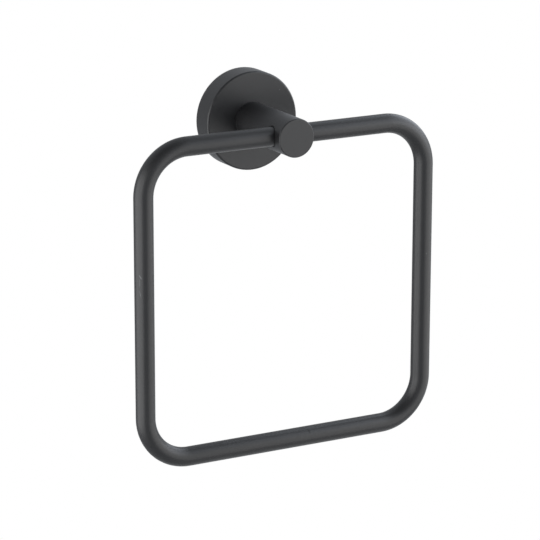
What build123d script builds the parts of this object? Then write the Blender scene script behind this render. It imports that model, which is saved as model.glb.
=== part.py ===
"""Towel ring: a square bent ring that swings in a round post on a round wall flange.

Millimetres. The origin lies on the wall, on the post's axis. +Z is up, +Y goes into
the wall and +X is to the right, so the towel ring stands out towards -Y.
"""

import os
from math import radians, tan

from build123d import *

# Ring: one round bar, bent square, whose two ends swing in the post
bar_dia = 10.0
ring_width = 162.0  # between the axes of the upright sides
ring_height = 162.0  # between the axes of the top and bottom sides
ring_bend_radius = 24.0  # at the bar's axis
ring_projection = 50.0  # wall to the bar's axis
ring_end_chamfer = 0.6

# Post: a plain turned bar with a blind cross bore from each side
post_dia = 20.0
post_projection = 60.0  # wall to the front face
post_edge = 0.5  # broken edge of the front face
post_web = 3.0  # metal left between the two bores
swing_clearance = 0.3  # bar to bore, all round
end_clearance = 0.4  # bar end to the bottom of its bore

# Flange: a turned cup that covers the fixing
flange_dia = 52.0
flange_depth = 13.0
flange_wall = 3.5
flange_front = 3.0
flange_edge = 0.8  # broken edge of the front face
flange_rim_chamfer = 0.3

# Wall plate: screwed to the wall, with an edge that is bevelled inwards to the wall
plate_thickness = 6.0
plate_clearance = 0.2  # plate to the inside of the flange
plate_bevel = 30.0  # degrees from the plate's axis
plate_land = 0.8  # straight part of the edge, at the front
plate_hole_dia = 13.0
slot_spacing = 26.0
slot_length = 7.0
slot_width = 4.5

# Post screw, button head, and its spring washer
post_screw_dia = 6.0
post_screw_length = 14.0
post_screw_chamfer = 0.6
post_screw_head_dia = 10.5
post_screw_head_height = 3.3
post_screw_crown_height = 1.8
post_screw_crown_width = 1.6
post_screw_socket = 4.0
post_screw_socket_depth = 2.0
post_thread_depth = 12.0
washer_dia = 10.8
washer_thickness = 1.6
washer_split = 1.0
screw_clearance = 0.05  # a screw in its thread
hole_clearance = 0.2  # a screw in a plain hole

# Set screw under the flange, which draws the flange to the wall
set_screw_dia = 4.0
set_screw_height = 4.0  # wall to its axis
set_screw_recess = 0.4
set_screw_socket = 2.0
set_screw_socket_depth = 1.8
set_screw_tip_dia = 1.2
set_screw_tip_length = 1.2
set_screw_seat = 0.05  # tip to the plate's bevel

# Sizes that follow from those above
bore_dia = bar_dia + 2 * swing_clearance
ring_end = post_web / 2 + end_clearance
flange_inside = flange_depth - flange_front
plate_radius = flange_dia / 2 - flange_wall - plate_clearance
plate_bevel_depth = plate_thickness - plate_land
plate_back_radius = plate_radius - plate_bevel_depth * tan(radians(plate_bevel))
set_screw_radius = set_screw_dia / 2 - screw_clearance
set_screw_reach = min(set_screw_height + set_screw_tip_dia / 2, plate_bevel_depth)
set_screw_contact = plate_back_radius + set_screw_reach * tan(radians(plate_bevel))
set_screw_length = flange_dia / 2 - set_screw_recess - set_screw_contact - set_screw_seat
set_screw_tip_taper = set_screw_radius - set_screw_tip_dia / 2
post_screw_seat = flange_inside - washer_thickness

wall = Plane.XZ  # its normal points away from the wall
set_screw_plane = Plane(
    origin=(0, -set_screw_height, -flange_dia / 2),
    x_dir=(1, 0, 0),
    z_dir=(0, 0, 1),
)

os.makedirs("parts", exist_ok=True)

# The flange is turned: its half section goes round the post's axis
with BuildPart() as flange:
    with BuildSketch(Plane.XY):
        with BuildLine():
            Polyline(
                (post_screw_dia / 2 + hole_clearance, -flange_inside),
                (flange_dia / 2 - flange_wall, -flange_inside),
                (flange_dia / 2 - flange_wall, 0),
                (flange_dia / 2, 0),
                (flange_dia / 2, -flange_depth),
                (post_screw_dia / 2 + hole_clearance, -flange_depth),
                close=True,
            )
        make_face()
        outer = vertices().group_by(Axis.X)[-1].sort_by(Axis.Y)
        chamfer(outer[0], length=flange_edge)
        chamfer(outer[-1], length=flange_rim_chamfer)
    revolve(axis=Axis.Y)
    with BuildSketch(set_screw_plane):
        Circle(set_screw_dia / 2)
    extrude(amount=flange_dia / 2, mode=Mode.SUBTRACT)

# The wall plate is a disc whose edge narrows towards the wall, with two slots for wall screws
with BuildPart() as wall_plate:
    with BuildSketch(Plane.XY):
        with BuildLine():
            Polyline(
                (plate_hole_dia / 2, 0),
                (plate_back_radius, 0),
                (plate_radius, -plate_bevel_depth),
                (plate_radius, -plate_thickness),
                (plate_hole_dia / 2, -plate_thickness),
                close=True,
            )
        make_face()
    revolve(axis=Axis.Y)
    with BuildSketch(wall):
        with GridLocations(slot_spacing, 0, 2, 1):
            SlotOverall(slot_length, slot_width)
    extrude(amount=plate_thickness, mode=Mode.SUBTRACT)

# The post stands on the flange, tapped at the back and bored from both sides near the front
with BuildPart() as post:
    with BuildSketch(wall.offset(flange_depth)):
        Circle(post_dia / 2)
    extrude(amount=post_projection - flange_depth)
    chamfer(edges().group_by(Axis.Y)[0], length=post_edge)
    with BuildSketch(wall.offset(flange_depth)):
        Circle(post_screw_dia / 2)
    extrude(amount=post_thread_depth, mode=Mode.SUBTRACT)
    for side in (1, -1):
        with BuildSketch(Plane.YZ.offset(side * post_web / 2)):
            with Locations((-ring_projection, 0)):
                Circle(bore_dia / 2)
        extrude(amount=side * post_dia / 2, mode=Mode.SUBTRACT)

# The ring is one bar, from one end in the post round to the other
with BuildPart() as ring:
    with BuildLine(wall.offset(ring_projection)) as ring_path:
        FilletPolyline(
            (ring_end, 0),
            (ring_width / 2, 0),
            (ring_width / 2, -ring_height),
            (-ring_width / 2, -ring_height),
            (-ring_width / 2, 0),
            (-ring_end, 0),
            radius=ring_bend_radius,
        )
    with BuildSketch(Plane(origin=ring_path.line @ 0, z_dir=ring_path.line % 0)):
        Circle(bar_dia / 2)
    sweep()
    bar_ends = faces().filter_by(GeomType.PLANE)
    chamfer(bar_ends.edges(), length=ring_end_chamfer)

# The post screw goes through the flange from behind, with a crowned head and a hexagon socket
with BuildPart() as post_screw:
    with BuildSketch(wall.offset(post_screw_seat)):
        Circle(post_screw_dia / 2 - screw_clearance)
    extrude(amount=post_screw_length)
    chamfer(edges().group_by(Axis.Y)[0], length=post_screw_chamfer)
    with BuildSketch(wall.offset(post_screw_seat)):
        Circle(post_screw_head_dia / 2)
    extrude(amount=-post_screw_head_height)
    crown_edge = edges().group_by(Axis.Y)[-1]
    chamfer(crown_edge, length=post_screw_crown_height, length2=post_screw_crown_width)
    with BuildSketch(wall.offset(post_screw_seat - post_screw_head_height)):
        RegularPolygon(post_screw_socket / 2, 6, major_radius=False)
    extrude(amount=post_screw_socket_depth, mode=Mode.SUBTRACT)

# The spring washer under the screw's head is split on one side
with BuildPart() as lock_washer:
    with BuildSketch(wall.offset(post_screw_seat)):
        Circle(washer_dia / 2)
        Circle(post_screw_dia / 2 + hole_clearance, mode=Mode.SUBTRACT)
        with Locations((0, washer_dia / 2)):
            Rectangle(washer_split, washer_dia, mode=Mode.SUBTRACT)
    extrude(amount=washer_thickness)

# The set screw is a headless screw with a cone tip, driven up against the plate's bevel
with BuildPart() as set_screw:
    with BuildSketch(set_screw_plane.offset(set_screw_recess)):
        Circle(set_screw_radius)
    extrude(amount=set_screw_length)
    tip_edge = edges().group_by(Axis.Z)[-1]
    chamfer(tip_edge, length=set_screw_tip_length, length2=set_screw_tip_taper)
    with BuildSketch(set_screw_plane.offset(set_screw_recess)):
        RegularPolygon(set_screw_socket / 2, 6, major_radius=False)
    extrude(amount=set_screw_socket_depth, mode=Mode.SUBTRACT)

pieces = {
    "flange": flange,
    "wall_plate": wall_plate,
    "post": post,
    "ring": ring,
    "post_screw": post_screw,
    "lock_washer": lock_washer,
    "set_screw": set_screw,
}
for name, piece in pieces.items():
    piece.part.label = name
    export_step(piece.part, f"parts/{name}.step")
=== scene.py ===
"""Looks of a wall towel ring: a satin black ring, post and flange over plated fixings.

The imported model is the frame: metres, +X right, +Y into the wall and +Z up, with the
origin on the wall at the post's axis. Sizes in this file are millimetres, and MM turns
them to metres. Each piece is worked out again here as a fine surface: the black ones with
rounded edges, and the fixings with broken edges and threads.
"""

import logging
from collections.abc import Sequence
from dataclasses import dataclass
from enum import Enum
from math import cos, pi, radians, sin, tan, tau

import bmesh
import bpy
import numpy as np
from bpy.types import Material, Node, NodeSocket, NodeTree, Object
from mathutils import Matrix, Vector


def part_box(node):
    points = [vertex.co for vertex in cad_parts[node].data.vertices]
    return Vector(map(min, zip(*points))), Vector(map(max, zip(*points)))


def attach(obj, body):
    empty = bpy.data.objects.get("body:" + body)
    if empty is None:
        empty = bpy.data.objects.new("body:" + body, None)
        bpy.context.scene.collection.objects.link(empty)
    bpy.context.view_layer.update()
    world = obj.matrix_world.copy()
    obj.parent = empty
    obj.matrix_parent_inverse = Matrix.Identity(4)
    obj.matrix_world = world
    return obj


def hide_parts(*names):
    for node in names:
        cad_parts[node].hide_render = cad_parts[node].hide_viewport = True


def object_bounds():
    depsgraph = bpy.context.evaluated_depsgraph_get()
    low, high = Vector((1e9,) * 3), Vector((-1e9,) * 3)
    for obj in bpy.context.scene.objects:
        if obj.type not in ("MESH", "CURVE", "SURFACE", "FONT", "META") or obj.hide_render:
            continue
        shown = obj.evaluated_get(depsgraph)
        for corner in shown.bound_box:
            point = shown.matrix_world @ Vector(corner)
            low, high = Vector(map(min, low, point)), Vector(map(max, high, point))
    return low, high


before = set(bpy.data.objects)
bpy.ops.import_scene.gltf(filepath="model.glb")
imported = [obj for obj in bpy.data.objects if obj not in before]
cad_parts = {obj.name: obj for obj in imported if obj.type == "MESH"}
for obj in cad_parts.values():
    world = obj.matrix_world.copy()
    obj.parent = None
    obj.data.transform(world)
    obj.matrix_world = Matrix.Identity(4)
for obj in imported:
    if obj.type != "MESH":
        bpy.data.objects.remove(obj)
CAD_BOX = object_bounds()

MM = 0.001
BOX_STEPS_A_MM = 20  # the frame's corners are rounded to this part of a millimetre
WELD_MM = 1e-4  # points closer than this are one point
SUPPORT_MM = 0.2  # strip of flat beside a rounding, which keeps the rounding's shading to itself
EDGE_STEPS = 10  # chords in a rounded edge
SHARP_DEGREES = 25.0  # edges that turn by more stay crisp
DOWNWARDS = 1.5 * pi  # angle of the way down, from +X towards +Z
WAVE_REPEAT = tau / 20  # distance at which a wave texture of scale 1 repeats
NOISE_MIDDLE = 0.5  # what a noise texture gives on average
SHARE, VALUE_A, VALUE_B, COLOUR_A, COLOUR_B = 0, 2, 3, 6, 7  # a mix node's inputs, whose names repeat
COLOUR_OUT = 2  # its output for colours
WHITE = "#ffffff"

Triple = tuple[float, float, float]
LOG = logging.getLogger("towel_ring")


class Body(Enum):
    """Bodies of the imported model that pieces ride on."""

    BASE = "base"
    RING = "ring"


class Slot(Enum):
    """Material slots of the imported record."""

    BLACK_COAT = "black_coat"
    ZINC_PLATE = "zinc_plate"
    SCREW_STEEL = "screw_steel"


class ScrewAxis(Enum):
    """Axis that a screw lies along: the axis's letter, and the way from its tip to its socket."""

    TO_WALL = ("Y", (0, 1, 0))
    DOWN = ("Z", (0, 0, -1))

    def ways(self) -> np.ndarray:
        """Work out a right-handed set of ways.

        Returns:
            Two rows across the screw and one along it.
        """
        along = np.array(self.value[1], dtype=float)
        across = np.roll(np.abs(along), 1)
        return np.stack([across, np.cross(along, across), along])


def node_box(node: str) -> tuple[np.ndarray, np.ndarray]:
    """Read a node's lowest and highest corners from the frame, in millimetres to a twentieth."""
    corners = np.array([tuple(corner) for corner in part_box(node)]) / MM
    return tuple(np.round(corners * BOX_STEPS_A_MM) / BOX_STEPS_A_MM)


@dataclass
class Skin:
    """A piece of surface."""

    points: np.ndarray  # one row of x, y, z for each point, in millimetres
    quads: np.ndarray  # one row of four point numbers for each face


def grid_quads(rows: int, columns: int, wrap: bool) -> np.ndarray:
    """Number the corners of the faces of a grid whose points run row by row.

    Args:
        rows: rows of points.
        columns: points in a row.
        wrap: whether the last column joins the first.

    Returns:
        One row of four point numbers for each face.
    """
    row = np.arange(rows - 1)[:, None] * columns
    column = np.arange(columns if wrap else columns - 1)[None, :]
    following = (column + 1) % columns
    corners = (row + column, row + following, row + columns + following, row + columns + column)
    return np.stack(np.broadcast_arrays(*corners), axis=-1).reshape(-1, 4)


def ring_skin(grid: np.ndarray) -> Skin:
    """Make a skin of a grid of points, rows by columns by 3, whose rows are closed rings."""
    rows, columns, _ = grid.shape
    return Skin(grid.reshape(-1, 3), grid_quads(rows, columns, True))


def weld(skins: list[Skin]) -> Skin:
    """Join skins to one, with the points on their common edges merged.

    Args:
        skins: the skins, which share the points along their seams.

    Returns:
        One skin without double points or points that no face uses.
    """
    starts = np.cumsum([0] + [len(skin.points) for skin in skins[:-1]])
    points = np.concatenate([skin.points for skin in skins])
    quads = np.concatenate([skin.quads + start for skin, start in zip(skins, starts)])
    cells = np.round(points / WELD_MM).astype(np.int64)
    _, first, number = np.unique(cells, axis=0, return_index=True, return_inverse=True)
    used, corners = np.unique(number.reshape(-1)[quads], return_inverse=True)
    return Skin(points[first][used], corners.reshape(quads.shape))


def make_piece(name: str, skins: list[Skin], body: Body, node: str) -> Object:
    """Put skins into one closed mesh that rides on a body.

    Faces that shrink to triangles at a pole lose the corner that they repeat.

    Args:
        name: of the piece.
        skins: its surface, closed when welded.
        body: that the piece moves with.
        node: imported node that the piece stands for.

    Returns:
        The object, at the origin, with its place in its mesh.
    """
    skin = weld(skins)
    repeats = skin.quads == np.roll(skin.quads, -1, axis=1)
    at_pole = repeats.any(axis=1)
    kept = (repeats[at_pole].argmax(axis=1)[:, None] + np.arange(1, 4)) % 4
    triangles = np.take_along_axis(skin.quads[at_pole], kept, axis=1)
    mesh = bpy.data.meshes.new(name)
    mesh.from_pydata((skin.points * MM).tolist(), [], skin.quads[~at_pole].tolist() + triangles.tolist())
    shape = bmesh.new()
    shape.from_mesh(mesh)
    bmesh.ops.recalc_face_normals(shape, faces=shape.faces)
    shape.to_mesh(mesh)
    shape.free()
    mesh.polygons.foreach_set("use_smooth", np.ones(len(mesh.polygons), dtype=bool))
    mesh.set_sharp_from_angle(angle=radians(SHARP_DEGREES))
    piece = bpy.data.objects.new(name, mesh)
    bpy.context.scene.collection.objects.link(piece)
    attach(piece, body.value)
    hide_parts(node)
    LOG.info("%s: %d points, %d faces, on %s", name, len(mesh.vertices), len(mesh.polygons), body.value)
    return piece


def dress(piece: Object, material: Material) -> None:
    """Make a material the only one of a piece."""
    piece.data.materials.clear()
    piece.data.materials.append(material)


def round_angles(columns: int) -> np.ndarray:
    """Angles of the columns of a turned surface, from +X towards +Z, in radians."""
    return tau * np.arange(columns) / columns


def about_axis(radius: np.ndarray | float, angle: np.ndarray, along: np.ndarray | float) -> np.ndarray:
    """Points about the Y axis: x = radius cos angle, y = along and z = radius sin angle."""
    return np.stack(np.broadcast_arrays(radius * np.cos(angle), along, radius * np.sin(angle)), axis=-1)


def lathe(profile: np.ndarray, columns: int) -> Skin:
    """Turn a profile, in rows of radius and y, about the Y axis."""
    return ring_skin(about_axis(profile[:, :1], round_angles(columns), profile[:, 1:]))


def arc(centre: tuple[float, float], radius: float, start: float, end: float) -> np.ndarray:
    """Points on an arc between two angles in degrees: centre plus radius times cosine and sine."""
    angle = np.radians(np.linspace(start, end, EDGE_STEPS + 1))
    return np.array(centre) + radius * np.stack([np.cos(angle), np.sin(angle)], axis=-1)


def rounded_front(inner: float, radius: float, face: float, edge: float) -> np.ndarray:
    """Profile of a turned piece's front: a flat face, then a quarter round to the side wall.

    Args:
        inner: radius where the face starts.
        radius: of the side wall.
        face: y of the face.
        edge: radius of the rounding.

    Returns:
        Rows of radius and y.
    """
    flat = [(inner, face), (radius / 2, face), (radius - edge - SUPPORT_MM, face)]
    rounding = arc((radius - edge, face + edge), edge, -90, 0)
    return np.concatenate([flat, rounding, [(radius, face + edge + SUPPORT_MM)]])


@dataclass(frozen=True)
class Cut:
    """A cut through a turned surface, which closes round the cut with a square of faces."""

    angle: float  # of its middle, in radians from +X towards +Z
    reach: float  # half length of the square, along y in a wall and along the radius in a flat face
    cells: int  # faces on each side of the square, an even number

    def square(self) -> tuple[np.ndarray, np.ndarray]:
        """Walk round the square in steps of a face.

        Returns:
            How far across and how far along each point lies, from -1 to 1.
        """
        step = np.arange(self.cells) * 2 / self.cells - 1
        side = np.ones(self.cells)
        across = np.concatenate([step, side, -step, -side])
        along = np.concatenate([-side, step, side, -step])
        return across, along

    def turn(self) -> np.ndarray:
        """Angle about the cut's own middle of each point of the square."""
        return np.arctan2(*self.square())

    def spread(self, columns: int) -> np.ndarray:
        """Angle about the turned surface's axis of each point of the square."""
        across, _ = self.square()
        return self.angle + across * tau / columns * self.cells / 2

    def ways(self) -> np.ndarray:
        """Ways outwards from the turned surface's axis and sideways, at the cut's angle."""
        return about_axis(1, self.angle + np.array([0, pi / 2]), 0)


@dataclass(frozen=True)
class Hole(Cut):
    """A round hole drilled square into a turned wall."""

    along: float  # y of its axis
    radius: float  # of its bore
    edge: float  # width of its broken edge

    def mouth(self, wall_radius: float, columns: int, rows: int) -> Skin:
        """Blend the square of wall into the round edge of the hole, on the wall's own curve.

        A point on a hole of radius q at turn t stands at sine q sin t over the wall's radius.

        Args:
            wall_radius: radius of the turned wall.
            columns: points in the wall's turn.
            rows: rings of faces from the square to the hole.

        Returns:
            The skin between the square and the hole.
        """
        _, along = self.square()
        rim = self.radius + self.edge
        rim_angle = self.angle + np.arcsin(rim * np.sin(self.turn()) / wall_radius)
        rim_along = rim * np.cos(self.turn())
        share = np.linspace(0, 1, rows + 1)[:, None]
        angle = (1 - share) * self.spread(columns) + share * rim_angle
        height = self.along + (1 - share) * along * self.reach + share * rim_along
        return ring_skin(about_axis(wall_radius, angle, height))

    def entry(self, wall_radius: float, way: int) -> list[tuple[float, np.ndarray]]:
        """Work out the two rings of the broken edge.

        A ring of radius q on the wall stands, at turn t, at root(wall radius squared - (q sin t)
        squared) from the wall's axis.

        Args:
            wall_radius: radius of the turned wall.
            way: 1 or -1, for a bore that goes away from the wall's axis or towards it.

        Returns:
            Radius, and distance from the wall's axis, of the ring on the wall and the one inside.
        """
        radii = np.array([self.radius + self.edge, self.radius])
        on_wall = np.sqrt(wall_radius**2 - (radii[:, None] * np.sin(self.turn())) ** 2)
        return [(radii[0], on_wall[0]), (radii[1], on_wall[1] + way * self.edge)]

    def bore(self, rings: list[tuple[float, np.ndarray | float]]) -> Skin:
        """Line the hole with rings of points from its mouth inwards.

        Args:
            rings: radius of each ring, and its distance from the wall's axis.

        Returns:
            The skin of the bore.
        """
        turn = self.turn()
        outwards, sideways = self.ways()
        radius = np.array([ring[0] for ring in rings])[:, None]
        depth = np.stack([np.broadcast_to(ring[1], turn.shape) for ring in rings])
        across = (radius * np.sin(turn))[..., None] * sideways
        height = (self.along + radius * np.cos(turn))[..., None] * np.array([0, 1, 0])
        return ring_skin(depth[..., None] * outwards + across + height)


@dataclass(frozen=True)
class Slit(Cut):
    """A round-ended slot through a flat face, which lies along a radius."""

    middle: float  # radius of its middle
    length: float  # over its round ends
    width: float  # of the slot

    def patch(self, columns: int) -> np.ndarray:
        """Points of the square at y = 0, on a face with so many points in its turn."""
        _, along = self.square()
        return about_axis(self.middle + along * self.reach, self.spread(columns), 0)

    def outline(self, wider: float) -> np.ndarray:
        """Work out the slot's outline at y = 0, at the turns of the square's points.

        Seen from its middle, a slot of half straight length a and end radius q lies at q over
        sine t beside its straight sides, and at a cos t + root(q q - (a sin t) squared) at its ends.

        Args:
            wider: how far the outline stands outside the slot's wall.

        Returns:
            An array of points by 3.
        """
        turn = self.turn()
        outwards, sideways = self.ways()
        straight, end = (self.length - self.width) / 2, self.width / 2 + wider
        sine, cosine = np.abs(np.sin(turn)), np.abs(np.cos(turn))
        at_side = end / np.maximum(sine, np.finfo(float).eps)
        at_end = straight * cosine + np.sqrt(end**2 - np.minimum(straight * sine, end) ** 2)
        reach = np.where(at_side * cosine <= straight, at_side, at_end)[:, None]
        along, across = np.cos(turn)[:, None], np.sin(turn)[:, None]
        return (self.middle + reach * along) * outwards + reach * across * sideways


def level_rings(outlines: list[tuple[np.ndarray, float]]) -> Skin:
    """Join closed outlines at y = 0 to a skin, each at its own y."""
    return ring_skin(np.stack([outline + np.array([0, level, 0]) for outline, level in outlines]))


def without_squares(turned: Skin, columns: int, first_row: int, cuts: Sequence[Cut]) -> Skin:
    """Take the squares round some cuts out of a turned skin.

    Args:
        turned: the skin, whose faces run row by row.
        columns: faces in a row.
        first_row: row where the squares start.
        cuts: the cuts, with squares of one size.

    Returns:
        The skin without the faces in the squares.
    """
    quads = turned.quads.reshape(-1, columns, 4)
    cells = cuts[0].cells
    row = np.arange(len(quads))[:, None] - first_row
    first = np.array([round(cut.angle / tau * columns) - cells // 2 for cut in cuts])
    column = (np.arange(columns) - first[:, None]) % columns
    in_square = (row >= 0) & (row < cells) & (column < cells).any(axis=0)
    return Skin(turned.points, quads[~in_square])


def drilled_wall(
    radius: float, start: float, end: float, holes: list[Hole], columns: int, rows: int,
) -> list[Skin]:
    """Make a turned wall with holes that lie at one height and are cut the same.

    The wall is a grid of angle and y without the squares round the holes, and each hole's
    mouth fills its square.

    Args:
        radius: of the wall.
        start: its first y.
        end: its last y, above the first.
        holes: the holes through it.
        columns: points in its turn.
        rows: rings of faces before, after and inside a square.

    Returns:
        The skins of the wall and of the mouths.
    """
    hole = holes[0]
    low, high = hole.along - hole.reach, hole.along + hole.reach
    levels = np.concatenate([
        np.linspace(start, low, rows + 1),
        np.linspace(low, high, hole.cells + 1)[1:],
        np.linspace(high, end, rows + 1)[1:],
    ])
    wall = lathe(np.column_stack(np.broadcast_arrays(radius, levels)), columns)
    mouths = [each.mouth(radius, columns, rows) for each in holes]
    return [without_squares(wall, columns, rows, holes), *mouths]


def linear_colour(code: str) -> tuple[float, float, float, float]:
    """Turn an sRGB hex value to the linear colour that shaders take.

    Args:
        code: such as "#202122".

    Returns:
        Red, green, blue and an alpha of 1.
    """
    parts = np.array([int(code[start:start + 2], 16) for start in (1, 3, 5)]) / 255
    linear = np.where(parts <= 0.04045, parts / 12.92, ((parts + 0.055) / 1.055) ** 2.4)
    return (*linear.tolist(), 1.0)


def add_node(tree: NodeTree, kind: str, inputs: dict | None = None, **settings: object) -> Node:
    """Add a node with its settings, values and links.

    Args:
        tree: that gets the node.
        kind: of node.
        inputs: for each input's name or number a value, an output, or a node whose first output is meant.
        **settings: the node's own properties.

    Returns:
        The node.
    """
    node = tree.nodes.new(kind)
    for key, value in settings.items():
        setattr(node, key, value)
    for key, value in (inputs or {}).items():
        if isinstance(value, (Node, NodeSocket)):
            tree.links.new(value.outputs[0] if isinstance(value, Node) else value, node.inputs[key])
        else:
            node.inputs[key].default_value = value
    return node


def new_material(name: str) -> tuple[Material, NodeTree]:
    """Start a material.

    Args:
        name: of the material.

    Returns:
        The material and its node tree, which is empty.
    """
    material = bpy.data.materials.new(name)
    material.use_nodes = True
    material.node_tree.nodes.clear()
    return material, material.node_tree


def per_metre(size: float) -> float:
    """Texture scale at which a pattern repeats about every so many millimetres."""
    return 1 / (size * MM)


@dataclass(frozen=True)
class Mark:
    """A small mark in the coat, where the film is dulled and has another tone."""

    start: Triple  # one end of the mark, in millimetres
    end: Triple  # its other end
    half_width: float
    strength: float  # how far it goes from the film to the mark's own tone
    tone: str = "#8c8d8e"


@dataclass(frozen=True)
class SatinPowderCoat:
    """Black polyester powder coat, sprayed and baked on steel.

    It gives the eye an almost black film with a broad soft sheen. The film flows out in a
    shallow orange peel, and its matting grain breaks the sheen up finely. Peel and grain
    are finer than the render shows, so both are drawn about twice as coarse.
    """

    name: str = "satin_black_powder_coat"
    film: str = "#1c1c1d"
    film_thin: str = "#232324"  # colour where the film is thin
    cloud_mm: float = 22.0  # size of the thin places
    peel_mm: float = 2.2
    grain_mm: float = 0.7
    peel_height_mm: float = 0.01
    grain_height_mm: float = 0.004
    sheen_low: float = 0.34  # least roughness, on smooth grain
    sheen_high: float = 0.42  # most roughness, on open grain
    grain_range: tuple[float, float] = (0.3, 0.7)  # the grain's values between which the roughness changes
    ior: float = 1.5
    marks: tuple[Mark, ...] = ()
    mark_core: float = 0.3  # share of a mark's width that is marked in full
    dulled: float = 0.9  # roughness of a mark

    def make(self) -> Material:
        """Build the coat's nodes.

        Returns:
            The material.
        """
        material, tree = new_material(self.name)
        place = add_node(tree, "ShaderNodeTexCoord").outputs["Object"]
        cloud = add_node(tree, "ShaderNodeTexNoise", {
            "Vector": place, "Scale": per_metre(self.cloud_mm), "Detail": 3.0, "Roughness": 0.55})
        peel = add_node(tree, "ShaderNodeTexNoise", {
            "Vector": place, "Scale": per_metre(self.peel_mm), "Detail": 1.0, "Roughness": 0.4})
        grain = add_node(tree, "ShaderNodeTexNoise", {
            "Vector": place, "Scale": per_metre(self.grain_mm), "Detail": 2.0, "Roughness": 0.6})
        film = add_node(tree, "ShaderNodeMix", {
            SHARE: cloud, COLOUR_A: linear_colour(self.film), COLOUR_B: linear_colour(self.film_thin),
        }, data_type="RGBA").outputs[COLOUR_OUT]
        sheen = add_node(tree, "ShaderNodeMapRange", {
            "Value": grain, "From Min": self.grain_range[0], "From Max": self.grain_range[1],
            "To Min": self.sheen_low, "To Max": self.sheen_high})
        for mark in self.marks:
            share = self.wear_and_shade(tree, place, grain, mark)
            film = add_node(tree, "ShaderNodeMix", {
                SHARE: share, COLOUR_A: film, COLOUR_B: linear_colour(mark.tone),
            }, data_type="RGBA").outputs[COLOUR_OUT]
            sheen = add_node(tree, "ShaderNodeMix", {SHARE: share, VALUE_A: sheen, VALUE_B: self.dulled})
        relief = add_node(tree, "ShaderNodeBump", {"Height": peel, "Distance": self.peel_height_mm * MM})
        relief = add_node(tree, "ShaderNodeBump", {
            "Height": grain, "Distance": self.grain_height_mm * MM, "Normal": relief})
        coat = add_node(tree, "ShaderNodeBsdfPrincipled", {
            "Base Color": film, "Roughness": sheen, "IOR": self.ior, "Normal": relief})
        add_node(tree, "ShaderNodeOutputMaterial", {"Surface": coat})
        return material

    def wear_and_shade(self, tree: NodeTree, place: NodeSocket, grain: Node, mark: Mark) -> Node:
        """Find how far a point lies inside a mark's spindle, broken up by the grain.

        The spindle is a ball stretched from the mark's start to its end.

        Args:
            tree: the coat's nodes.
            place: the coordinates.
            grain: the coat's grain.
            mark: where and how strong.

        Returns:
            0 outside the mark, rising to about its strength in its core.
        """
        start, end = np.array(mark.start), np.array(mark.end)
        half_length = np.linalg.norm(end - start) / 2 + mark.half_width
        local = add_node(tree, "ShaderNodeMapping", {
            "Vector": place,
            "Location": ((start + end) / 2 * MM).tolist(),
            "Rotation": Vector(end - start).to_track_quat("Z", "Y").to_euler(),
            "Scale": (np.array([mark.half_width, mark.half_width, half_length]) * MM).tolist(),
        }, vector_type="TEXTURE")
        away = add_node(tree, "ShaderNodeVectorMath", {0: local}, operation="LENGTH")
        reach = add_node(tree, "ShaderNodeMapRange", {
            "Value": away.outputs["Value"], "From Min": 1.0, "From Max": self.mark_core,
            "To Min": 0.0, "To Max": mark.strength / NOISE_MIDDLE})
        return add_node(tree, "ShaderNodeMath", {0: reach, 1: grain}, operation="MULTIPLY")


@dataclass(frozen=True)
class ZincPlating:
    """Steel sheet, cold rolled and bright zinc plated.

    It gives the eye a pale silver metal with a soft sheen, drawn out along the way that the
    sheet was rolled, and slightly cloudy. Rolling lines are finer than the render shows, so
    they are drawn about three times as coarse.
    """

    name: str = "zinc_plated_rolled_steel"
    bright: str = "#c6c7c8"
    dull: str = "#adafb0"
    cloud_mm: float = 9.0
    line_mm: float = 0.4
    line_length_mm: float = 14.0
    line_height_mm: float = 0.004
    tone_range: tuple[float, float] = (0.5, 1.0)
    sheen_low: float = 0.3
    sheen_high: float = 0.42

    def make(self) -> Material:
        """Build the plating's nodes.

        Returns:
            The material.
        """
        material, tree = new_material(self.name)
        place = add_node(tree, "ShaderNodeTexCoord").outputs["Object"]
        across = per_metre(self.line_mm)
        rolled = add_node(tree, "ShaderNodeMapping", {
            "Vector": place, "Scale": (per_metre(self.line_length_mm), across, across)})
        line = add_node(tree, "ShaderNodeTexNoise", {"Vector": rolled, "Scale": 1.0, "Detail": 2.0})
        cloud = add_node(tree, "ShaderNodeTexNoise", {
            "Vector": place, "Scale": per_metre(self.cloud_mm), "Detail": 2.0})
        tone = add_node(tree, "ShaderNodeMath", {0: line, 1: cloud, 2: cloud}, operation="MULTIPLY_ADD")
        share = add_node(tree, "ShaderNodeMapRange", {
            "Value": tone, "From Min": self.tone_range[0], "From Max": self.tone_range[1]})
        colour = add_node(tree, "ShaderNodeMix", {
            SHARE: share, COLOUR_A: linear_colour(self.dull), COLOUR_B: linear_colour(self.bright),
        }, data_type="RGBA").outputs[COLOUR_OUT]
        sheen = add_node(tree, "ShaderNodeMapRange", {
            "Value": share, "To Min": self.sheen_high, "To Max": self.sheen_low})
        relief = add_node(tree, "ShaderNodeBump", {"Height": line, "Distance": self.line_height_mm * MM})
        metal = add_node(tree, "ShaderNodeBsdfPrincipled", {
            "Base Color": colour, "Roughness": sheen, "Metallic": 1.0, "Normal": relief})
        add_node(tree, "ShaderNodeOutputMaterial", {"Surface": metal})
        return material


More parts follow.
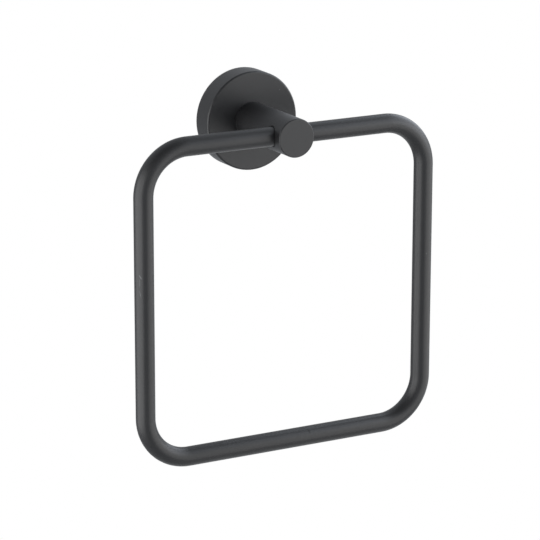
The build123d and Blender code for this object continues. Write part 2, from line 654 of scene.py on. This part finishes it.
@dataclass(frozen=True)
class TurnedStainless:
    """Stainless steel screw, turned.

    It gives the eye a bright warm grey metal with fine tool rings about the screw's axis. The
    rings are finer than the render shows, so they are drawn about seven times as coarse.
    """

    name: str
    axis: ScrewAxis  # that the tool rings go round
    centre: Triple  # a point on that axis, in millimetres
    bright: str = "#bdbab4"
    shade: str = "#a09e99"
    ring_mm: float = 1.4
    ring_height_mm: float = 0.008
    sheen_low: float = 0.24
    sheen_high: float = 0.36

    def make(self) -> Material:
        """Build the steel's nodes.

        Returns:
            The material.
        """
        material, tree = new_material(self.name)
        place = add_node(tree, "ShaderNodeTexCoord").outputs["Object"]
        centred = add_node(tree, "ShaderNodeMapping", {
            "Vector": place, "Location": (-np.array(self.centre) * MM).tolist()})
        rings = add_node(tree, "ShaderNodeTexWave", {
            "Vector": centred, "Scale": WAVE_REPEAT * per_metre(self.ring_mm),
            "Distortion": 0.6, "Detail": 2.0,
        }, wave_type="RINGS", rings_direction=self.axis.value[0]).outputs["Fac"]
        colour = add_node(tree, "ShaderNodeMix", {
            SHARE: rings, COLOUR_A: linear_colour(self.shade), COLOUR_B: linear_colour(self.bright),
        }, data_type="RGBA").outputs[COLOUR_OUT]
        sheen = add_node(tree, "ShaderNodeMapRange", {
            "Value": rings, "To Min": self.sheen_low, "To Max": self.sheen_high})
        relief = add_node(tree, "ShaderNodeBump", {"Height": rings, "Distance": self.ring_height_mm * MM})
        metal = add_node(tree, "ShaderNodeBsdfPrincipled", {
            "Base Color": colour, "Roughness": sheen, "Metallic": 1.0, "Normal": relief})
        add_node(tree, "ShaderNodeOutputMaterial", {"Surface": metal})
        return material


@dataclass
class Flange:
    """The turned cup on the wall, with a rounded front edge and a tapped hole underneath.

    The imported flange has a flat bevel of 0.8 where this has its rounding of 1.
    """

    node: str = "flange"
    wall: float = 3.5  # thickness of its side
    front: float = 3.0  # thickness of its front
    edge: float = 1.0  # rounding of its front edge
    rim: float = 0.3  # rounding of its edge on the wall
    post_hole: float = 3.2  # radius of the post screw's hole
    screw_room: float = 0.05  # from the set screw to its hole, all round
    hole_edge: float = 0.15
    hole_reach: float = 2.9
    hole_cells: int = 10
    rows: int = 4  # rings of faces above, below and round the hole
    columns: int = 256

    def build(self) -> Object:
        """Turn the cup's walls and faces and drill the set screw's hole.

        Returns:
            The piece.
        """
        low, high = node_box(self.node)
        screw_low, screw_high = node_box("set_screw")
        radius, face = high[0], low[1]
        inside, floor = radius - self.wall, face + self.front
        hole = Hole(
            angle=DOWNWARDS, reach=self.hole_reach, cells=self.hole_cells, edge=self.hole_edge,
            along=(screw_low[1] + screw_high[1]) / 2, radius=screw_high[0] + self.screw_room,
        )
        front = rounded_front(self.post_hole, radius, face, self.edge)
        rounding = arc((radius - self.rim, -self.rim), self.rim, 0, 90)
        back = np.concatenate([[(radius, -self.rim - SUPPORT_MM)], rounding, [(inside, 0)]])
        bottom = np.array([(inside, floor), (self.post_hole, floor), (self.post_hole, face)])
        skins = [lathe(profile, self.columns) for profile in (front, back, bottom)]
        skins += [hole.bore(hole.entry(radius, -1) + hole.entry(inside, 1)[::-1])]
        skins += drilled_wall(radius, front[-1, 1], back[0, 1], [hole], self.columns, self.rows)
        skins += drilled_wall(inside, floor, 0, [hole], self.columns, self.rows)
        return make_piece("flange_cup", skins, Body.BASE, self.node)


@dataclass
class Post:
    """The turned post, bored from both sides for the ring's ends and tapped at the back."""

    node: str = "post"
    edge: float = 0.5  # rounding of its front edge
    web: float = 3.0  # metal left between the two bores
    swing_room: float = 0.3  # from the bar to its bore, all round
    bore_edge: float = 0.15
    bore_reach: float = 7.5
    bore_cells: int = 32
    thread_radius: float = 3.0
    thread_depth: float = 12.0
    rows: int = 8  # rings of faces above, below and round a bore
    columns: int = 128

    def build(self) -> Object:
        """Turn the post and bore it.

        Returns:
            The piece.
        """
        low, high = node_box(self.node)
        radius, face, seat = high[0], low[1], high[1]
        ring_low, ring_high = node_box("ring")
        bar = (ring_high[1] - ring_low[1]) / 2
        bores = [
            Hole(
                angle=angle, reach=self.bore_reach, cells=self.bore_cells, edge=self.bore_edge,
                along=ring_high[1] - bar, radius=bar + self.swing_room,
            )
            for angle in (0.0, pi)
        ]
        front = rounded_front(0, radius, face, self.edge)
        thread_end = seat - self.thread_depth
        tapped = [(self.thread_radius, seat), (self.thread_radius, thread_end), (0, thread_end)]
        back = np.array([(radius, seat), *tapped])
        skins = [lathe(front, self.columns), lathe(back, self.columns)]
        skins += drilled_wall(radius, front[-1, 1], seat, bores, self.columns, self.rows)
        for bore in bores:
            bottom = [(bore.radius, self.web / 2), (0.0, self.web / 2)]
            skins.append(bore.bore(bore.entry(radius, -1) + bottom))
        return make_piece("bored_post", skins, Body.BASE, self.node)


@dataclass
class BentRing:
    """One round bar, bent square, from one bore of the post round to the other."""

    node: str = "ring"
    bend: float = 24.0  # radius of a bend at the bar's axis
    end: float = 1.9  # from the post's axis to an end of the bar
    end_chamfer: float = 0.6
    section: int = 72  # points round the bar
    bend_steps: int = 28
    run_steps: int = 24

    def centreline(self, half_width: float, top: float, bottom: float) -> tuple[np.ndarray, np.ndarray]:
        """Follow the bar's axis: straight runs, and a quarter turn to the right at each corner.

        On a bend, a point is the bend's centre plus the radius times minus sine and cosine of
        the heading.

        Args:
            half_width: from the post's axis to an upright side's axis.
            top: z of the top side's axis.
            bottom: z of the bottom side's axis.

        Returns:
            Points as x and z, and the heading at each in radians.
        """
        side, roof, floor = half_width - self.bend, top - self.bend, bottom + self.bend
        centres = np.array([(side, roof), (side, floor), (-side, floor), (-side, roof)])
        quarters = np.arange(len(centres) + 1)[:, None]
        heading = -pi / 2 * (quarters[:-1] + np.linspace(0, 1, self.bend_steps + 1))
        bends = centres[:, None] + self.bend * np.stack([-np.sin(heading), np.cos(heading)], axis=-1)
        leave = np.concatenate([[(self.end, top)], bends[:, -1]])
        enter = np.concatenate([bends[:, 0], [(-self.end, top)]])
        share = np.linspace(0, 1, self.run_steps + 1)[1:-1, None]
        runs = leave[:, None] * (1 - share) + enter[:, None] * share
        run_heading = np.broadcast_to(-pi / 2 * quarters, runs.shape[:2])
        points = [part for pair in zip(runs, bends) for part in pair] + [runs[-1]]
        headings = [part for pair in zip(run_heading, heading) for part in pair] + [run_heading[-1]]
        chamfer = np.array([self.end_chamfer, 0])
        points = [leave[:1], leave[:1] + chamfer, *points, enter[-1:] - chamfer, enter[-1:]]
        headings = [np.zeros(2), *headings, np.full(2, -tau)]
        return np.concatenate(points), np.concatenate(headings)

    def build(self) -> Object:
        """Carry the bar's round section along its axis and close its chamfered ends.

        Returns:
            The piece.
        """
        low, high = node_box(self.node)
        bar = (high[1] - low[1]) / 2
        depth = (high[1] + low[1]) / 2
        points, heading = self.centreline(high[0] - bar, high[2] - bar, low[2] + bar)
        points = np.concatenate([points[:1], points, points[-1:]])
        heading = np.concatenate([heading[:1], heading, heading[-1:]])
        radius = np.full(len(points), bar)
        radius[[0, -1]] = 0
        radius[[1, -2]] = bar - self.end_chamfer
        turn = round_angles(self.section)
        outwards = radius[:, None] * np.cos(turn)
        grid = np.stack([
            points[:, :1] - np.sin(heading)[:, None] * outwards,
            depth + radius[:, None] * np.sin(turn),
            points[:, 1:] + np.cos(heading)[:, None] * outwards,
        ], axis=-1)
        return make_piece("bent_ring", [ring_skin(grid)], Body.RING, self.node)


@dataclass
class CoatedPieces:
    """What shows from the front: the flange, the post and the ring, under one coat."""

    flange: Flange
    post: Post
    ring: BentRing
    finish: SatinPowderCoat

    def build(self) -> None:
        """Make each piece and coat it."""
        coat = self.finish.make()
        for part in (self.flange, self.post, self.ring):
            dress(part.build(), coat)


@dataclass
class WallPlate:
    """The pressed plate behind the flange, with a bevelled edge, a hole and two slots."""

    node: str = "wall_plate"
    hole: float = 6.5  # radius of its middle hole
    bevel: float = 30.0  # degrees of its edge from its axis
    land: float = 0.8  # straight part of its edge, at the front
    edge: float = 0.25  # width of its broken edges
    slits: tuple[Slit, ...] = tuple(  # its slots
        Slit(angle=angle, reach=4.6, cells=16, middle=13.0, length=7.0, width=4.5) for angle in (0.0, pi)
    )
    patch_rows: int = 4  # rings of faces from the square round a slot to the slot
    columns: int = 128

    def face(self, inner: float, outer: float, level: float) -> list[Skin]:
        """Make a flat face: rings from the hole to the edge, with a patch blended to each slot.

        Args:
            inner: radius of the hole's edge.
            outer: radius of the face's edge.
            level: y of the face.

        Returns:
            The skins of the rings and of the patches.
        """
        slit = self.slits[0]
        beside = np.linspace(slit.middle - slit.reach, slit.middle + slit.reach, slit.cells + 1)
        radii = np.concatenate([[inner], beside, [outer]])
        rings = lathe(np.column_stack(np.broadcast_arrays(radii, level)), self.columns)
        skins = [without_squares(rings, self.columns, 1, self.slits)]
        shares = np.linspace(0, 1, self.patch_rows + 1)
        for slit in self.slits:
            patch, rim = slit.patch(self.columns), slit.outline(self.edge)
            skins.append(level_rings([(patch * (1 - share) + rim * share, level) for share in shares]))
        return skins

    def build(self) -> Object:
        """Turn the plate's edge and hole, and close its faces round the slots.

        Returns:
            The piece.
        """
        low, high = node_box(self.node)
        radius, front, back = high[0], low[1], high[1]
        edge, bevel = self.edge, radians(self.bevel)
        corner = radius - (back - front - self.land) * tan(bevel)
        outer = np.array([
            (corner - edge, back),
            (corner + edge * sin(bevel), back - edge * cos(bevel)),
            (radius, front + self.land),
            (radius, front + edge),
            (radius - edge, front),
        ])
        levels = np.array([front, front + edge, back - edge, back])
        wider = np.array([edge, 0, 0, edge])
        inner = np.column_stack([self.hole + wider, levels])
        skins = [lathe(outer, self.columns), lathe(inner, self.columns)]
        skins += self.face(self.hole + edge, corner - edge, back)
        skins += self.face(self.hole + edge, radius - edge, front)
        for slit in self.slits:
            skins.append(level_rings([(slit.outline(out), level) for out, level in zip(wider, levels)]))
        return make_piece("pressed_plate", skins, Body.BASE, self.node)


@dataclass
class SpringWasher:
    """A ring of square wire with rounded edges, cut through at the top."""

    node: str = "lock_washer"
    bore: float = 3.2  # radius of its hole
    cut: float = 1.0  # width of the cut
    edge: float = 0.25  # rounding of the wire's edges
    steps: int = 96  # faces along the wire

    def build(self) -> Object:
        """Carry the wire's section round from one side of the cut to the other.

        A point at radius r starts where the cut's half width is r times sine of the angle.

        Returns:
            The piece.
        """
        low, high = node_box(self.node)
        outer, front, back = high[0], low[1], high[1]
        middle = np.array([(self.bore + outer) / 2, (front + back) / 2])
        half = np.array([outer - self.bore, back - front]) / 2 - self.edge
        corners = middle + half * np.array([(1, 1), (-1, 1), (-1, -1), (1, -1)])
        section = np.concatenate([
            arc(tuple(corner), self.edge, 90 * number, 90 * number + 90)
            for number, corner in enumerate(corners)
        ])
        share = np.linspace(0, 1, self.steps + 1)
        rows = np.concatenate([[0], share, [1]])[:, None]
        shrink = np.ones(len(rows))
        shrink[[0, -1]] = 0
        wire = middle + shrink[:, None, None] * (section - middle)
        cut_angle = np.arcsin(self.cut / 2 / wire[..., 0])
        angle = pi / 2 + cut_angle + rows * (tau - 2 * cut_angle)
        skin = ring_skin(about_axis(wire[..., 0], angle, wire[..., 1]))
        return make_piece("spring_washer", [skin], Body.BASE, self.node)


@dataclass
class SocketScrew:
    """A threaded screw with a hexagon socket, with or without a domed head."""

    name: str
    node: str
    axis: ScrewAxis
    radius: float  # over the thread
    pitch: float
    tip_radius: float  # of the flat at the tip
    tip_length: float  # of the taper at the tip
    socket: float  # across the flats
    socket_depth: float
    head_height: float = 0.0  # 0 for a screw without a head
    dome_height: float = 0.0
    dome_width: float = 0.0
    thread_depth: float = 0.54  # as a share of the pitch
    thread_flat: float = 0.1  # width of the thread's crest and of its root, as shares of the pitch
    end_taper: float = 0.3  # how far the thread of a headless screw falls at its end
    socket_edge: float = 0.15  # width of the socket's broken edge
    socket_cone: float = 1 / 6  # depth of the cone below the socket, as a share of its width
    columns: int = 72
    rows_a_pitch: int = 12

    def thread(self, length: float) -> tuple[np.ndarray, np.ndarray]:
        """Work out the thread: its height is a flat-topped wave of the distance minus the turn.

        Args:
            length: from the tip to the thread's end.

        Returns:
            The distance from the tip of each row, and the radius at each row and column.
        """
        along = np.linspace(0, length, round(length / self.pitch * self.rows_a_pitch) + 1)
        phase = (along[:, None] / self.pitch - np.arange(self.columns) / self.columns) % 1
        half = 0.5  # of a pitch, from a crest to the next root
        height = np.clip((np.abs(phase - half) - self.thread_flat / 2) / (half - self.thread_flat), 0, 1)
        radius = self.radius - self.thread_depth * self.pitch * (1 - height)
        tip = self.tip_radius + (self.radius - self.tip_radius) * along / self.tip_length
        end = self.radius - self.end_taper + length - along
        limit = tip if self.head_height else np.minimum(tip, end)
        return along, np.minimum(radius, limit[:, None])

    def hexagon(self, wider: float) -> np.ndarray:
        """Radius of the socket's wall at each column: half its width over the cosine from a flat."""
        turn = round_angles(self.columns)
        return (self.socket / 2 + wider) / np.cos((turn + pi / 6) % (pi / 3) - pi / 6)

    def build(self) -> Object:
        """Join the tip, the thread, the head and the socket in rings along the axis.

        The head's dome is a quarter of an ellipse, from its side to its flat top.

        Returns:
            The piece.
        """
        low, high = node_box(self.node)
        across, side, way = self.axis.ways()
        length = np.abs((high - low) @ way)
        rings = [(0.0, 0.0), *zip(*self.thread(length - self.head_height))]
        if self.head_height:
            inwards, down = ((1 - arc((0, 0), 1.0, 0, 90)) * (self.dome_width, self.dome_height)).T
            rings += [(length - self.head_height, high[0]), *zip(length - down, high[0] - inwards)]
        bottom = length - self.socket_depth
        rings += [
            (length, self.hexagon(self.socket_edge)),
            (length - self.socket_edge, self.hexagon(0)),
            (bottom, self.hexagon(0)),
            (bottom - self.socket_cone * self.socket, 0.0),
        ]
        turn = round_angles(self.columns)[:, None]
        spokes = np.cos(turn) * across + np.sin(turn) * side
        reach = np.stack([np.broadcast_to(ring, self.columns) for _, ring in rings])[..., None]
        distance = np.array([place for place, _ in rings])[:, None, None]
        tip = (low + high) / 2 - way * length / 2
        skin = ring_skin(tip + reach * spokes + distance * way)
        return make_piece(self.name, [skin], Body.BASE, self.node)

    def steel(self) -> Material:
        """Make the steel that the screw was turned from."""
        low, high = node_box(self.node)
        return TurnedStainless(f"turned_stainless_{self.node}", self.axis, tuple((low + high) / 2)).make()


@dataclass
class Fixings:
    """The plate that is screwed to the wall, and the screws that hold the flange and the post."""

    plate: WallPlate
    washer: SpringWasher
    post_screw: SocketScrew
    set_screw: SocketScrew

    def build(self) -> None:
        """Make each piece and give it its metal."""
        post_steel = self.post_screw.steel()
        dress(self.plate.build(), ZincPlating().make())
        dress(self.washer.build(), post_steel)
        dress(self.post_screw.build(), post_steel)
        dress(self.set_screw.build(), self.set_screw.steel())


@dataclass(frozen=True)
class SoftBox:
    """A large soft lamp."""

    name: str
    place: Triple  # of its middle, in metres
    width: float  # in metres
    height: float  # in metres
    brightness: float  # of its face, where 1 is white
    colour: str = WHITE

    def hang(self, target: Vector) -> None:
        """Put up the lamp, unseen by the camera.

        Args:
            target: that its face points to.
        """
        light = bpy.data.lights.new(self.name, "AREA")
        light.shape = "RECTANGLE"
        light.size = self.width
        light.size_y = self.height
        light.energy = self.brightness * pi * self.width * self.height
        light.color = linear_colour(self.colour)[:3]
        lamp = bpy.data.objects.new(self.name, light)
        lamp.location = self.place
        lamp.rotation_euler = (target - Vector(self.place)).to_track_quat("-Z", "Y").to_euler()
        lamp.visible_camera = False
        bpy.context.scene.collection.objects.link(lamp)


@dataclass(frozen=True)
class DimPatch:
    """A round patch of the studio's air that gives less light."""

    way: Triple  # towards its middle, of length 1
    inner: float  # degrees from its middle to where it starts to brighten
    outer: float  # degrees from its middle to where it ends
    share: float  # of the air's light that its middle gives


@dataclass
class Studio:
    """A pale floor, soft boxes and the photograph's camera."""

    camera_place: Triple = (-649.8, -1224.5, 297.3)  # in millimetres
    yaw: float = 28.589  # degrees to the right of +Y
    pitch: float = 15.338  # degrees downwards
    roll: float = -0.111  # degrees clockwise
    focal_mm: float = 181.4
    sensor_mm: float = 36.0
    floor_drop: float = 1.4  # from the ring's lowest point to the floor, in metres
    floor_size: float = 4.0  # side of the floor, in metres
    floor_cells: int = 8  # faces on a side of the floor
    floor_colour: str = "#f2f2f2"
    floor_glow: float = 0.66  # what the floor adds to the light that it throws back, where 1 is white
    air: float = 0.59  # light of the air, where 1 is white
    air_colour: str = "#eff4fb"
    dims: tuple[DimPatch, ...] = (
        DimPatch((-0.35, -0.5, 0.79), 15.0, 50.0, 0.08),
        DimPatch((-0.46, 0.85, -0.26), 10.0, 45.0, 0.6),
    )
    sheen_share: float = 0.1  # of a sheen's rays that meet the white surroundings
    boxes: tuple[SoftBox, ...] = (
        SoftBox("left_box", (-0.546, -0.078, -0.118), 0.9, 0.7, 2.1),
        SoftBox("right_box", (0.728, -0.559, -0.101), 1.5, 1.0, 1.22, "#fffdfa"),
        SoftBox("upper_box", (0.5, -0.325, 0.22), 0.58, 0.58, 1.8, "#eef4ff"),
        SoftBox("back_box", (0.24, 0.04, 0.2), 0.24, 0.24, 0.6, "#e6effc"),
        SoftBox("front_box", (0.4, -0.54, -0.74), 0.7, 0.7, 0.25, "#fffdfa"),
        SoftBox("low_box", (0.443, 0.342, -0.759), 1.0, 1.0, 0.3),
        SoftBox("rim_box", (0.68, 0.2, 0.28), 0.5, 0.5, 2.2, "#eef4ff"),
    )

    def set_camera(self) -> None:
        """Stand the camera where the photograph was taken from."""
        lens = bpy.data.cameras.new("photo_camera")
        lens.sensor_width = self.sensor_mm
        lens.lens = self.focal_mm
        camera = bpy.data.objects.new("photo_camera", lens)
        turn = Matrix.Rotation(radians(-self.yaw), 4, "Z")
        tilt = Matrix.Rotation(radians(90 - self.pitch), 4, "X")
        spin = Matrix.Rotation(radians(-self.roll), 4, "Z")
        camera.matrix_world = Matrix.Translation(Vector(self.camera_place) * MM) @ turn @ tilt @ spin
        bpy.context.scene.collection.objects.link(camera)
        bpy.context.scene.camera = camera

    def shown(self, tree: NodeTree) -> Node:
        """Pick the rays that meet the white surroundings.

        They are all of the camera's rays and those through glass, and a share of those off a
        sheen, because a room that is white all round would wash the black film out.

        Args:
            tree: of the surroundings.

        Returns:
            1 for rays that meet white, 0 for those that light the object.
        """
        path = add_node(tree, "ShaderNodeLightPath").outputs
        sheen = add_node(tree, "ShaderNodeMath", {
            0: path["Is Glossy Ray"], 1: self.sheen_share}, operation="MULTIPLY")
        glass = add_node(tree, "ShaderNodeMath", {
            0: path["Is Transmission Ray"], 1: sheen}, operation="MAXIMUM")
        return add_node(tree, "ShaderNodeMath", {0: path["Is Camera Ray"], 1: glass}, operation="MAXIMUM")

    def hang_boxes(self) -> None:
        """Hang the soft boxes round the object's middle."""
        low, high = CAD_BOX
        for box in self.boxes:
            box.hang((low + high) / 2)

    def fill_air(self) -> None:
        """Light the air evenly but for its dim patches."""
        world = bpy.data.worlds.new("studio_air")
        world.use_nodes = True
        tree = world.node_tree
        tree.nodes.clear()
        way = add_node(tree, "ShaderNodeTexCoord").outputs["Generated"]
        level: float | Node = self.air
        for dim in self.dims:
            near = add_node(tree, "ShaderNodeVectorMath", {0: way, 1: dim.way}, operation="DOT_PRODUCT")
            share = add_node(tree, "ShaderNodeMapRange", {
                "Value": near.outputs["Value"], "From Min": cos(radians(dim.outer)),
                "From Max": cos(radians(dim.inner)), "To Min": 1.0, "To Max": dim.share,
            }, interpolation_type="SMOOTHSTEP")
            level = add_node(tree, "ShaderNodeMath", {0: level, 1: share}, operation="MULTIPLY")
        air = add_node(tree, "ShaderNodeBackground", {
            "Color": linear_colour(self.air_colour), "Strength": level})
        white = add_node(tree, "ShaderNodeBackground", {"Color": linear_colour(WHITE), "Strength": 1.0})
        sky = add_node(tree, "ShaderNodeMixShader", {0: self.shown(tree), 1: air, 2: white})
        add_node(tree, "ShaderNodeOutputWorld", {"Surface": sky})
        bpy.context.scene.world = world

    def lay_floor(self) -> None:
        """Lay a pale sheet well below the ring, with a glow that makes it white to the eye."""
        side = np.linspace(-self.floor_size / 2, self.floor_size / 2, self.floor_cells + 1)
        across, along = np.meshgrid(side, side)
        level = np.full(across.shape, CAD_BOX[0].z - self.floor_drop)
        points = np.stack([across, along, level], axis=-1).reshape(-1, 3)
        mesh = bpy.data.meshes.new("floor")
        mesh.from_pydata(points.tolist(), [], grid_quads(len(side), len(side), False).tolist())
        floor = bpy.data.objects.new("floor", mesh)
        bpy.context.scene.collection.objects.link(floor)
        material, tree = new_material("matt_white_paper")
        paper = add_node(tree, "ShaderNodeBsdfDiffuse", {"Color": linear_colour(self.floor_colour)})
        strength = add_node(tree, "ShaderNodeMath", {
            0: self.shown(tree), 1: self.floor_glow}, operation="MULTIPLY")
        glow = add_node(tree, "ShaderNodeEmission", {"Color": linear_colour(WHITE), "Strength": strength})
        sheet = add_node(tree, "ShaderNodeAddShader", {0: paper, 1: glow})
        add_node(tree, "ShaderNodeOutputMaterial", {"Surface": sheet})
        dress(floor, material)

    def set_up(self) -> None:
        """Set the camera, the light, the floor and plain colour management."""
        self.set_camera()
        self.hang_boxes()
        self.fill_air()
        self.lay_floor()
        bpy.context.scene.view_settings.view_transform = "Standard"


POST_SCREW = SocketScrew(
    name="domed_screw", node="post_screw", axis=ScrewAxis.TO_WALL,
    radius=2.95, pitch=1.0, tip_radius=2.35, tip_length=0.6,
    socket=4.0, socket_depth=2.0, head_height=3.3, dome_height=1.8, dome_width=1.6,
)
SET_SCREW = SocketScrew(
    name="headless_screw", node="set_screw", axis=ScrewAxis.DOWN,
    radius=1.95, pitch=0.7, tip_radius=0.6, tip_length=1.2, socket=2.0, socket_depth=1.8,
)

# Marks that use has left: a scrape on the left side, a nick below with painted shade in it, dots on the
# right side and the flange
COAT_MARKS = (
    Mark((-85.1, -52.9, -61.9), (-84.2, -53.8, -63.9), 0.43, 0.5),
    Mark((-85.0, -53.0, -63.6), (-85.0, -53.0, -68.2), 0.3, 0.3),
    Mark((-85.1, -52.9, -69.6), (-84.6, -53.5, -73.4), 0.35, 0.3),
    # The nick's near-black tone is painted shade of its dent; its dulled sheen is wear
    Mark((11.2, -52.5, -157.7), (12.0, -54.3, -159.5), 0.42, 1.1, "#050505"),
    Mark((80.8, -55.0, -70.9), (80.8, -55.0, -71.3), 0.33, 0.28),
    Mark((15.8, -13.0, 15.1), (15.8, -13.0, 14.8), 0.3, 0.25),
)


def main() -> None:
    """Build the pieces, dress them and set up the studio."""
    logging.basicConfig(level=logging.INFO, format="%(name)s: %(message)s")
    CoatedPieces(Flange(), Post(), BentRing(), SatinPowderCoat(marks=COAT_MARKS)).build()
    Fixings(WallPlate(), SpringWasher(), POST_SCREW, SET_SCREW).build()
    Studio().set_up()


if __name__ == "__main__":
    main()
